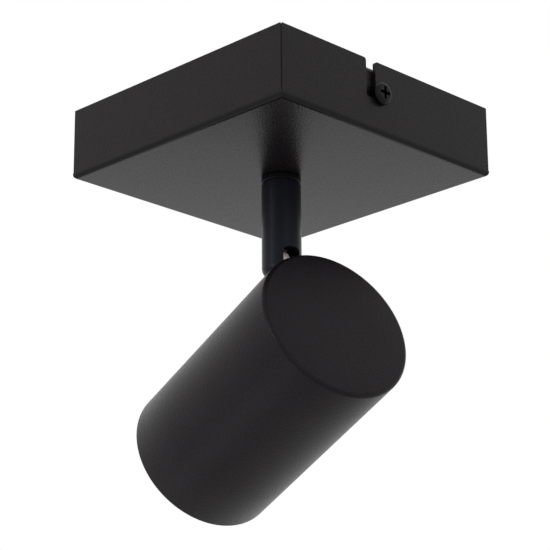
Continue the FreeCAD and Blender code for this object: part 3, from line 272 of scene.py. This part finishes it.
# the terminal block in milky cream, the washer in satin black and the lamp's body in smooth white
POLYAMIDE = even_skin("natural_polyamide", "#E4E2D8", "#D8D5C8", 0.5)
NYLON = even_skin("black_nylon", "#141414", "#1E1E1E", 0.5)
LAMP_WHITE = even_skin("white_lamp_thermoplastic", "#E2E2DE", "#D6D6D2", 0.35)
# the leads' silicone: soft, dull and evenly coloured
BROWN = even_skin("brown_silicone", "#4A2A18", "#57331F", 0.55)
BLUE = even_skin("blue_silicone", "#1C4E8C", "#245A9C", 0.55)
WHITE_LEAD = even_skin("white_silicone", "#D9D8D2", "#C9C8C2", 0.55)


# ------------------------------------------------------------------ ceramic, braid, lens and earth lead

GRIT = 0.5                      # real grit is finer and wouldn't show
GRIT_RELIEF = 0.03
SPECK_SPACING = 1.6
SPECK_REACH = (0.05, 0.09)      # of a speck's core and of its faded rim, as shares of the spacing
SPECK_STRENGTH = 0.45


def steatite():
    """Unglazed steatite porcelain: chalky warm white with fine grit and rare dark specks."""
    material, tree, place = new_material("steatite_ceramic")
    grit = add(tree, "ShaderNodeTexNoise", {"Vector": place, "Scale": per_m(GRIT),
                                            "Detail": 4.0}).outputs["Fac"]
    specks = add(tree, "ShaderNodeTexVoronoi", {"Vector": place, "Scale": per_m(SPECK_SPACING)})
    warmth = add(tree, "ShaderNodeMapRange", {"Value": grit, "From Min": NOISE_SPAN[0],
                                              "From Max": NOISE_SPAN[1]})
    chalk = add(tree, "ShaderNodeMix", {"Factor": warmth.outputs["Result"], COLOUR_A: linear("#E6E0D2"),
                                        COLOUR_B: linear("#D6CEBC")}, data_type="RGBA")
    dark = add(tree, "ShaderNodeMapRange", {
        "Value": specks.outputs["Distance"], "From Min": SPECK_REACH[0], "From Max": SPECK_REACH[1],
        "To Min": SPECK_STRENGTH, "To Max": 0.0})
    skin = add(tree, "ShaderNodeMix", {"Factor": dark.outputs["Result"], COLOUR_A: chalk.outputs[MIXED],
                                       COLOUR_B: linear("#8A7F6E")}, data_type="RGBA")
    bump = add(tree, "ShaderNodeBump", {"Height": grit, "Distance": GRIT_RELIEF * MM, "Strength": 1.0})
    shader = add(tree, "ShaderNodeBsdfPrincipled", {
        "Base Color": skin.outputs[MIXED], "Roughness": 0.72, "IOR": 1.55,
        "Normal": bump.outputs["Normal"]})
    add(tree, "ShaderNodeOutputMaterial", {"Surface": shader.outputs["BSDF"]})
    return material


WAVE_TURN = 20.0                # a Wave texture of scale 1 turns this many radians in a metre of height
BRAID_TURN = 0.5                # one radian of the braid: its bands repeat every 3.1 mm of height
BRAID_RELIEF = 0.08


def braided_sleeve():
    """Varnished glass braid: two crossing sets of threads in a black glossy varnish. Real threads are too
    fine to show in the render, so they are drawn coarser."""
    material, tree, place = new_material("varnished_glass_braid")
    threads = {"Vector": place, "Scale": per_m(BRAID_TURN) / WAVE_TURN}
    slanting = add(tree, "ShaderNodeTexWave", threads, bands_direction="DIAGONAL")
    level = add(tree, "ShaderNodeTexWave", threads, bands_direction="Z")
    weave = add(tree, "ShaderNodeMath", {0: slanting.outputs["Fac"], 1: level.outputs["Fac"]},
                operation="MAXIMUM").outputs[0]
    skin = add(tree, "ShaderNodeMix", {"Factor": weave, COLOUR_A: linear("#0B0B0B"),
                                       COLOUR_B: linear("#2A2A2A")}, data_type="RGBA")
    bump = add(tree, "ShaderNodeBump", {"Height": weave, "Distance": BRAID_RELIEF * MM, "Strength": 1.0})
    shader = add(tree, "ShaderNodeBsdfPrincipled", {
        "Base Color": skin.outputs[MIXED], "Roughness": 0.45, "IOR": 1.5,
        "Normal": bump.outputs["Normal"]})
    add(tree, "ShaderNodeOutputMaterial", {"Surface": shader.outputs["BSDF"]})
    return material


FROST = 0.3                     # real frosting is finer and wouldn't show


def frosted_lens():
    """Injection moulded polycarbonate lens with a frosted face: white and milky, with a soft gloss."""
    material, tree, place = new_material("frosted_polycarbonate")
    frost = add(tree, "ShaderNodeTexNoise", {"Vector": place, "Scale": per_m(FROST),
                                             "Detail": 3.0}).outputs["Fac"]
    skin = add(tree, "ShaderNodeMix", {"Factor": frost, COLOUR_A: linear("#E9ECEE"),
                                       COLOUR_B: linear("#D4D9DD")}, data_type="RGBA")
    bump = add(tree, "ShaderNodeBump", {"Height": frost, "Distance": FINE_RELIEF * MM, "Strength": 1.0})
    shader = add(tree, "ShaderNodeBsdfPrincipled", {
        "Base Color": skin.outputs[MIXED], "Roughness": 0.3, "IOR": 1.58, "Transmission Weight": 0.35,
        "Normal": bump.outputs["Normal"]})
    add(tree, "ShaderNodeOutputMaterial", {"Surface": shader.outputs["BSDF"]})
    return material


SILICONE_GRAIN = 0.4            # the real grain is finer and wouldn't show
STRIPE_SOFTNESS = 0.2           # to each side of the edge between the two colours


def striped_lead():
    """Silicone insulation, soft and dull: green with a wide yellow stripe that runs along the lead, which
    bends in the plane where Y is 0."""
    material, tree, place = new_material("green_yellow_silicone")
    spot = add(tree, "ShaderNodeSeparateXYZ", {"Vector": place})
    stripe = add(tree, "ShaderNodeMapRange", {
        "Value": spot.outputs["Y"], "From Min": -STRIPE_SOFTNESS * MM, "From Max": STRIPE_SOFTNESS * MM})
    skin = add(tree, "ShaderNodeMix", {"Factor": stripe.outputs["Result"], COLOUR_A: linear("#2E7A32"),
                                       COLOUR_B: linear("#E3CB2B")}, data_type="RGBA")
    grain = add(tree, "ShaderNodeTexNoise", {"Vector": place, "Scale": per_m(SILICONE_GRAIN)})
    bump = add(tree, "ShaderNodeBump", {"Height": grain.outputs["Fac"], "Distance": FINE_RELIEF * MM,
                                        "Strength": 1.0})
    shader = add(tree, "ShaderNodeBsdfPrincipled", {
        "Base Color": skin.outputs[MIXED], "Roughness": 0.55, "IOR": 1.45,
        "Normal": bump.outputs["Normal"]})
    add(tree, "ShaderNodeOutputMaterial", {"Surface": shader.outputs["BSDF"]})
    return material


# ------------------------------------------------------------------ the finish of every CAD node

LENS = frosted_lens()

CAD_FINISH = {
    "canopy_cover": CANOPY_COAT, "mounting_bracket": COAT, "canopy_screws": BLACK_SCREW,
    "terminal_block": POLYAMIDE, "terminal_inserts": BRASS, "terminal_screws": ZINC,
    "terminal_fixing_screw": ZINC, "earth_tag": ZINC, "earth_screw": ZINC, "live_lead": BROWN,
    "neutral_lead": BLUE, "earth_lead": striped_lead(), "swivel_nipple": COLLAR_SHADED_COAT,
    "nipple_lock_washer": ZINC, "nipple_nut": ZINC, "swivel_washer": NYLON, "arm_tube": ARM_COAT,
    "arm_grub_screw": BLACK_SCREW, "pivot_screw": BLACK_SCREW, "pivot_friction_washer": ZINC,
    "pivot_spacer": ZINC, "arm_sleeve": braided_sleeve(), "arm_leads": WHITE_LEAD,
    "knuckle_lug": CAST_ZINC, "saddle_washer": COAT, "stud_spring_washer": ZINC, "stud_nut": ZINC,
    "lampholder_bracket": ZINC, "lampholder": steatite(), "lampholder_screws": ZINC,
    "lamp_body": LAMP_WHITE, "lamp_lens": LENS, "lamp_pins": NICKEL, "head_leads": WHITE_LEAD,
}


# ------------------------------------------------------------------ mesh helpers

SHARP_DEG = 32.0        # an edge stays sharp where its faces turn by more than this
WELD_M = 0.00001


def smooth_by_angle():
    """A modifier tree that shades faces smooth and keeps the sharp edges."""
    tree = bpy.data.node_groups.new("smooth_by_angle", "GeometryNodeTree")
    tree.interface.new_socket("Geometry", in_out="INPUT", socket_type="NodeSocketGeometry")
    tree.interface.new_socket("Geometry", in_out="OUTPUT", socket_type="NodeSocketGeometry")
    source = add(tree, "NodeGroupInput")
    angle = add(tree, "GeometryNodeInputMeshEdgeAngle")
    gentle = add(tree, "FunctionNodeCompare", {"A": angle.outputs["Unsigned Angle"],
                                               "B": math.radians(SHARP_DEG)},
                 data_type="FLOAT", operation="LESS_THAN")
    faces = add(tree, "GeometryNodeSetShadeSmooth", {"Geometry": source.outputs[0], "Shade Smooth": True},
                domain="FACE")
    edges = add(tree, "GeometryNodeSetShadeSmooth", {"Geometry": faces.outputs[0],
                                                     "Shade Smooth": gentle.outputs["Result"]},
                domain="EDGE")
    output = add(tree, "NodeGroupOutput")
    tree.links.new(edges.outputs[0], output.inputs[0])
    return tree


SMOOTH = smooth_by_angle()


def finish_cad_node(name):
    """Gives a carried-over solid its material, joined facets and smooth curved faces."""
    item = frame["nodes"][name]
    item.data.materials.clear()
    item.data.materials.append(CAD_FINISH[name])
    weld = item.modifiers.new("weld", "WELD")
    weld.merge_threshold = WELD_M
    smooth = item.modifiers.new("smooth", "NODES")
    smooth.node_group = SMOOTH


def mesh_from(bm, name, material):
    """The plain mesh of a finished bmesh, with its material."""
    mesh = bpy.data.meshes.new(name)
    bm.to_mesh(mesh)
    bm.free()
    mesh.materials.append(material)
    return mesh


def new_object(name, data):
    """An object in the scene, at the origin, unturned."""
    item = bpy.data.objects.new(name, data)
    bpy.context.scene.collection.objects.link(item)
    return item


def arc_points(centre_r, centre_z, radius, start_deg, end_deg, steps):
    """Points of a rounded corner in a turned profile, as radius and height."""
    points = []
    for step in range(steps + 1):
        angle = math.radians(start_deg + (end_deg - start_deg) * step / steps)
        points.append((centre_r + radius * math.cos(angle), centre_z + radius * math.sin(angle)))
    return points


def turned(profile, place, segments):
    """A turned solid: a profile of (radius, height) points that starts and ends on the axis, spun round Z
    and put in a frame."""
    bm = bmesh.new()
    rings = []
    for radius, height in profile:
        if radius == 0.0:
            rings.append([bm.verts.new((0, 0, height * MM))])
            continue
        ring = []
        for step in range(segments):
            angle = 2 * math.pi * step / segments
            spot_m = (radius * math.cos(angle) * MM, radius * math.sin(angle) * MM, height * MM)
            ring.append(bm.verts.new(spot_m))
        rings.append(ring)
    for first, second in zip(rings, rings[1:]):
        for step in range(segments):
            following = (step + 1) % segments
            corners = []
            for ring, index in ((first, step), (first, following), (second, following), (second, step)):
                vertex = ring[index % len(ring)]
                if vertex not in corners:
                    corners.append(vertex)
            bm.faces.new(corners)
    bmesh.ops.recalc_face_normals(bm, faces=bm.faces[:])
    bm.transform(place)
    return bm


# ------------------------------------------------------------------ head

CAN_WALL = 1.2
CAN_ROUND = 1.4                 # outside, round the closed end
INNER_ROUND = 1.0
MOUTH_ROUND = 0.5
CROWN_STEPS = 8
ROLL_STEPS = 5
INNER_STEPS = 4
CAP_RING = 0.5                  # a ring on the cap, as a share of its radius
WALL_RINGS = (0.25, 0.5, 0.75)  # rings on the outer wall, as shares of the can's length
BORE_RING = 0.5
CAN_SEGMENTS = 192


def drawn_can():
    """The can: closed end with a rounded edge, straight wall, rolled mouth and its inside."""
    bore = CAN_RADIUS - CAN_WALL
    roll = MOUTH_ROUND - CAN_LENGTH
    profile = [(0.0, 0.0), (CAN_RADIUS * CAP_RING, 0.0)]
    profile += arc_points(CAN_RADIUS - CAN_ROUND, -CAN_ROUND, CAN_ROUND, 90, 0, CROWN_STEPS)
    profile += [(CAN_RADIUS, -CAN_LENGTH * share) for share in WALL_RINGS]
    profile += arc_points(CAN_RADIUS - MOUTH_ROUND, roll, MOUTH_ROUND, 0, -90, ROLL_STEPS)
    profile += arc_points(bore + MOUTH_ROUND, roll, MOUTH_ROUND, -90, -180, ROLL_STEPS)
    profile += [(bore, -CAN_LENGTH * BORE_RING)]
    profile += arc_points(bore - INNER_ROUND, -CAN_WALL - INNER_ROUND, INNER_ROUND, 0, 90, INNER_STEPS)
    profile += [(0.0, -CAN_WALL)]
    mesh = mesh_from(turned(profile, CAN_FRAME, CAN_SEGMENTS), "head_shell", COAT)
    for face in mesh.polygons:
        face.use_smooth = True
    mesh.set_sharp_from_angle(angle=math.radians(SHARP_DEG))
    shell = new_object("head_shell", mesh)
    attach(shell, "head")
    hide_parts("head_can")


drawn_can()

for node in frame["nodes"]:
    if node != "head_can":
        finish_cad_node(node)


# ------------------------------------------------------------------ lamp lens

DOME_PITCH = 2.4
DOME_RADIUS = 1.15
DOME_RISE = 0.45
DOME_MARGIN = 1.7               # from the lens's edge to the outermost dome's middle, at least
DOME_FOOT = -0.3                # what lies lower in the dome's unit ball is cut away
DOME_DIVISIONS = 2
ROW_STEP = math.sqrt(3) / 2     # from row to row, as a share of the pitch


def dome_field():
    """Geometry nodes: small domes in staggered rows over a round field, each a low cap of a sphere."""
    tree = bpy.data.node_groups.new("dome_field", "GeometryNodeTree")
    sockets = {}
    for title, kind in (("Field Radius", "NodeSocketFloat"), ("Pitch", "NodeSocketFloat"),
                        ("Dome Radius", "NodeSocketFloat"), ("Dome Rise", "NodeSocketFloat"),
                        ("Rows", "NodeSocketInt"), ("Material", "NodeSocketMaterial")):
        sockets[title] = tree.interface.new_socket(title, in_out="INPUT", socket_type=kind).identifier
    tree.interface.new_socket("Geometry", in_out="OUTPUT", socket_type="NodeSocketGeometry")
    given = add(tree, "NodeGroupInput").outputs
    position = add(tree, "GeometryNodeInputPosition").outputs[0]

    # a grid of points, whose odd rows are moved by half a pitch
    gaps = add(tree, "ShaderNodeMath", {0: given["Rows"], 1: 1.0}, operation="SUBTRACT").outputs[0]
    wide = add(tree, "ShaderNodeMath", {0: gaps, 1: given["Pitch"]}, operation="MULTIPLY").outputs[0]
    tall = add(tree, "ShaderNodeMath", {0: wide, 1: ROW_STEP}, operation="MULTIPLY").outputs[0]
    grid = add(tree, "GeometryNodeMeshGrid", {"Size X": wide, "Size Y": tall, "Vertices X": given["Rows"],
                                              "Vertices Y": given["Rows"]})
    index = add(tree, "GeometryNodeInputIndex").outputs[0]
    row = add(tree, "ShaderNodeMath", {0: index, 1: given["Rows"]}, operation="MODULO").outputs[0]
    odd = add(tree, "ShaderNodeMath", {0: row, 1: 2.0}, operation="MODULO").outputs[0]
    half = add(tree, "ShaderNodeMath", {0: given["Pitch"], 1: 0.5}, operation="MULTIPLY").outputs[0]
    shift = add(tree, "ShaderNodeMath", {0: odd, 1: half}, operation="MULTIPLY").outputs[0]
    offset = add(tree, "ShaderNodeCombineXYZ", {"X": shift}).outputs[0]
    placed = add(tree, "GeometryNodeSetPosition", {"Geometry": grid.outputs["Mesh"], "Offset": offset})

    # the points outside the round field go
    reach = add(tree, "ShaderNodeVectorMath", {0: position}, operation="LENGTH").outputs["Value"]
    outside = add(tree, "ShaderNodeMath", {0: reach, 1: given["Field Radius"]},
                  operation="GREATER_THAN").outputs[0]
    field = add(tree, "GeometryNodeDeleteGeometry", {"Geometry": placed.outputs[0],
                                                     "Selection": outside}, domain="POINT")

    # one dome is the top of a ball
    ball = add(tree, "GeometryNodeMeshIcoSphere", {"Radius": 1.0, "Subdivisions": DOME_DIVISIONS})
    height = add(tree, "ShaderNodeSeparateXYZ", {"Vector": position}).outputs["Z"]
    sunk = add(tree, "ShaderNodeMath", {0: height, 1: DOME_FOOT}, operation="LESS_THAN").outputs[0]
    cap = add(tree, "GeometryNodeDeleteGeometry", {"Geometry": ball.outputs["Mesh"], "Selection": sunk},
              domain="POINT")

    size = add(tree, "ShaderNodeCombineXYZ", {"X": given["Dome Radius"], "Y": given["Dome Radius"],
                                              "Z": given["Dome Rise"]})
    domes = add(tree, "GeometryNodeInstanceOnPoints", {"Points": field.outputs[0],
                                                       "Instance": cap.outputs[0],
                                                       "Scale": size.outputs[0]})
    real = add(tree, "GeometryNodeRealizeInstances", {"Geometry": domes.outputs[0]})
    smooth = add(tree, "GeometryNodeSetShadeSmooth", {"Geometry": real.outputs[0], "Shade Smooth": True})
    moulded = add(tree, "GeometryNodeSetMaterial", {"Geometry": smooth.outputs[0],
                                                    "Material": given["Material"]})
    output = add(tree, "NodeGroupOutput")
    tree.links.new(moulded.outputs[0], output.inputs[0])
    return tree, sockets


def grown_mesh(name, tree, sockets, values):
    """The plain mesh that a geometry tree makes from the given values."""
    seed = new_object(name + "_seed", bpy.data.meshes.new(name + "_seed"))
    modifier = seed.modifiers.new(name, "NODES")
    modifier.node_group = tree
    for title, value in values.items():
        modifier[sockets[title]] = value
    bpy.context.view_layer.update()
    evaluated = seed.evaluated_get(bpy.context.evaluated_depsgraph_get())
    mesh = bpy.data.meshes.new_from_object(evaluated)
    mesh.name = name
    bpy.data.objects.remove(seed)
    return mesh


def lens_domes():
    """The lens spreads its light with a field of low domes on its front, which stays inside the can's
    mouth."""
    tree, sockets = dome_field()
    mesh = grown_mesh("lens_domes", tree, sockets, {
        "Field Radius": (LENS_RADIUS - DOME_MARGIN) * MM, "Pitch": DOME_PITCH * MM,
        "Dome Radius": DOME_RADIUS * MM, "Dome Rise": DOME_RISE * MM,
        "Rows": 2 * math.ceil(LENS_RADIUS / DOME_PITCH / ROW_STEP) + 1, "Material": LENS})
    outward = Matrix.Translation((0, 0, LENS_LOW * MM)) @ Matrix.Rotation(math.pi, 4, "X")
    mesh.transform(CAN_FRAME @ outward)
    domes = new_object("lens_domes", mesh)
    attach(domes, "head")


lens_domes()


# ------------------------------------------------------------------ camera

# the camera was solved from the canopy's edges in the 550 x 550 photograph. Its angles are in degrees
CAMERA_AZIMUTH = 44.8785
CAMERA_ELEVATION = -18.3312
CAMERA_ROLL = -0.414
CAMERA_DISTANCE = 719.3
CAMERA_SIDE = -1.9001
CAMERA_RISE = -56.6537
FOCAL_PIXELS = 2094.75
PHOTO_PIXELS = 550
SENSOR = 36.0
CAMERA_NEAR_M = 0.05
CAMERA_FAR_M = 50.0


def photo_camera():
    """The camera at the photograph's place, with its aim and focal length."""
    azimuth = math.radians(CAMERA_AZIMUTH)
    elevation = math.radians(CAMERA_ELEVATION)
    roll = math.radians(CAMERA_ROLL)
    back = Vector((math.sin(azimuth) * math.cos(elevation), -math.cos(azimuth) * math.cos(elevation),
                   math.sin(elevation)))
    right = Vector((math.cos(azimuth), math.sin(azimuth), 0))
    above = back.cross(right)
    rolled_right = right * math.cos(roll) + above * math.sin(roll)
    rolled_above = above * math.cos(roll) - right * math.sin(roll)
    spot_m = (back * CAMERA_DISTANCE + rolled_right * CAMERA_SIDE + rolled_above * CAMERA_RISE) * MM
    data = bpy.data.cameras.new("photo_camera")
    data.sensor_width = SENSOR
    data.lens = FOCAL_PIXELS / PHOTO_PIXELS * SENSOR
    data.clip_start = CAMERA_NEAR_M
    data.clip_end = CAMERA_FAR_M
    camera = new_object("photo_camera", data)
    camera.matrix_world = frame_matrix(rolled_right, rolled_above, back, spot_m)
    bpy.context.scene.camera = camera


# ------------------------------------------------------------------ light and stage

ROOM_LIGHT = 0.5                # the white surround's strength as a light on the object

# name, place and aim in metres, width and height in metres, power in watts
SOFT_LAMPS = (
    ("right_softbox", (1.6, -0.58, 0.25), (0, 0, -0.07), 0.6, 1.0, 1.8),
    ("left_softbox", (-0.36, -1.6, 0.05), (0, 0, -0.07), 0.42, 0.46, 5.2),
    ("low_softbox", (-0.7, -0.55, -0.95), (0, 0, -0.07), 0.5, 0.5, 0.5),
    ("top_softbox", (0.2, -0.3, 1.8), (0, 0, -0.1), 1.6, 1.6, 3.0),
)

FLOOR_DROP_M = 1.1
FLOOR_WIDTH_M = 3.0
FLOOR_SIDES = 96
FLOOR_GLOW = 0.8                # how white the floor's middle is to the eye
FLOOR_FADE = (0.15, 0.48)       # out from its middle, in shares of its width, it turns as white as the room
FLOOR_MOTTLE = 500.0


def soft_lamp(name, spot_m, aim_m, wide_m, tall_m, power):
    """A flat studio softbox that faces its aim."""
    data = bpy.data.lights.new(name, "AREA")
    data.shape = "RECTANGLE"
    data.size = wide_m
    data.size_y = tall_m
    data.energy = power
    lamp = new_object(name, data)
    lamp.location = spot_m
    lamp.rotation_mode = "QUATERNION"
    lamp.rotation_quaternion = (Vector(aim_m) - Vector(spot_m)).to_track_quat("-Z", "Y")


def seen_share(tree):
    """One for rays from the eye and for what gloss and glass show, none for the light on a surface."""
    rays = add(tree, "ShaderNodeLightPath").outputs
    mirrored = add(tree, "ShaderNodeMath", {0: rays["Is Glossy Ray"], 1: rays["Is Transmission Ray"]},
                   operation="MAXIMUM")
    seen = add(tree, "ShaderNodeMath", {0: rays["Is Camera Ray"], 1: mirrored.outputs[0]},
               operation="MAXIMUM")
    return seen.outputs[0]


def white_surround():
    """A white studio all round: pure white to the eye and in reflections, dimmer as a light."""
    world = bpy.data.worlds.new("white_studio")
    bpy.context.scene.world = world
    world.use_nodes = True
    tree = world.node_tree
    tree.nodes.clear()
    strength = add(tree, "ShaderNodeMapRange", {"Value": seen_share(tree), "To Min": ROOM_LIGHT,
                                                "To Max": 1.0})
    surround = add(tree, "ShaderNodeBackground", {"Color": linear(WHITE),
                                                  "Strength": strength.outputs["Result"]})
    add(tree, "ShaderNodeOutputWorld", {"Surface": surround.outputs[0]})


def floor_paint():
    """Matt white floor paint with a faint mottle. To the eye it melts into the white studio at its rim."""
    material, tree, place = new_material("painted_studio_floor")
    mottle = add(tree, "ShaderNodeTexNoise", {"Vector": place, "Scale": per_m(FLOOR_MOTTLE)})
    skin = add(tree, "ShaderNodeMix", {"Factor": mottle.outputs["Fac"], COLOUR_A: linear("#F4F4F2"),
                                       COLOUR_B: linear("#EEEEEC")}, data_type="RGBA")
    paint = add(tree, "ShaderNodeBsdfPrincipled", {"Base Color": skin.outputs[MIXED], "Roughness": 0.7,
                                                   "IOR": 1.45})
    reach = add(tree, "ShaderNodeVectorMath", {0: place}, operation="LENGTH").outputs["Value"]
    fade = add(tree, "ShaderNodeMapRange", {
        "Value": reach, "From Min": math.hypot(FLOOR_DROP_M, FLOOR_WIDTH_M * FLOOR_FADE[0]),
        "From Max": math.hypot(FLOOR_DROP_M, FLOOR_WIDTH_M * FLOOR_FADE[1]), "To Min": FLOOR_GLOW,
        "To Max": 1.0})
    seen = add(tree, "ShaderNodeMath", {0: fade.outputs["Result"], 1: seen_share(tree)},
               operation="MULTIPLY")
    glow = add(tree, "ShaderNodeEmission", {"Color": linear(WHITE), "Strength": 1.0})
    mixed = add(tree, "ShaderNodeMixShader", {0: seen.outputs[0], 1: paint.outputs[0],
                                              2: glow.outputs[0]})
    add(tree, "ShaderNodeOutputMaterial", {"Surface": mixed.outputs[0]})
    return material


def pale_floor():
    """A plain round floor far below the hanging light."""
    bm = bmesh.new()
    bmesh.ops.create_circle(bm, cap_ends=True, segments=FLOOR_SIDES, radius=FLOOR_WIDTH_M / 2)
    bm.transform(Matrix.Translation((0, 0, -FLOOR_DROP_M)))
    new_object("studio_floor", mesh_from(bm, "studio_floor", floor_paint()))


photo_camera()
white_surround()
pale_floor()
for lamp_facts in SOFT_LAMPS:
    soft_lamp(*lamp_facts)
bpy.context.scene.view_settings.view_transform = "Standard"
